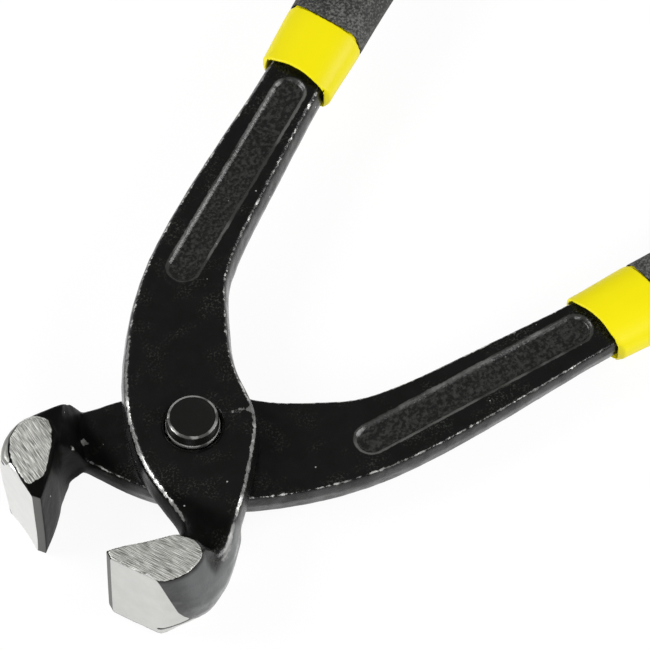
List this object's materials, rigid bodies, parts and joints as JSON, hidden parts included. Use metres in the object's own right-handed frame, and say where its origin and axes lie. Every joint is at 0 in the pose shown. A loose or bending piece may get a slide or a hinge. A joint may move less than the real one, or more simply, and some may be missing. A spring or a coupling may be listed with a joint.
{
  "type": "rebar tying pliers",
  "caption": "Long-handled pliers for tying and cutting rebar wire: crossed black forged levers on a peened rivet, hooked end-cutting jaws with ground faces, yellow-collared black grips.",
  "frame": {"origin": "middle of the rivet's lower end, on the pivot axis", "axes": "+X from the pivot towards the handles, midway between them; +Y towards the upper lever's handle; +Z along the pivot axis, up"},
  "size_m": [0.2371, 0.1692, 0.021],
  "materials": {
    "lever_lacquer": "gloss black lacquer over a rough forging, jaws' side faces and noses ground bare",
    "rivet_lacquer": "gloss black lacquer",
    "sleeve_plastic": "soft gloss",
    "cover_rubber": "fine-grained matt"
  },
  "bodies": {
    "lower_half": {"lower_lever": "lever_lacquer", "pivot_rivet": "rivet_lacquer", "lower_grip_sleeve": "sleeve_plastic", "lower_grip_cover": "cover_rubber"},
    "upper_half": {"upper_lever": "lever_lacquer", "upper_grip_sleeve": "sleeve_plastic", "upper_grip_cover": "cover_rubber"}
  },
  "joints": [
    {"name": "jaw_pivot", "type": "hinge", "parent": "lower_half", "child": "upper_half", "pos_m": [0, 0, 0.0092], "axis": [0, 0, 1], "range_deg": [-28.1, 17]}
  ]
}
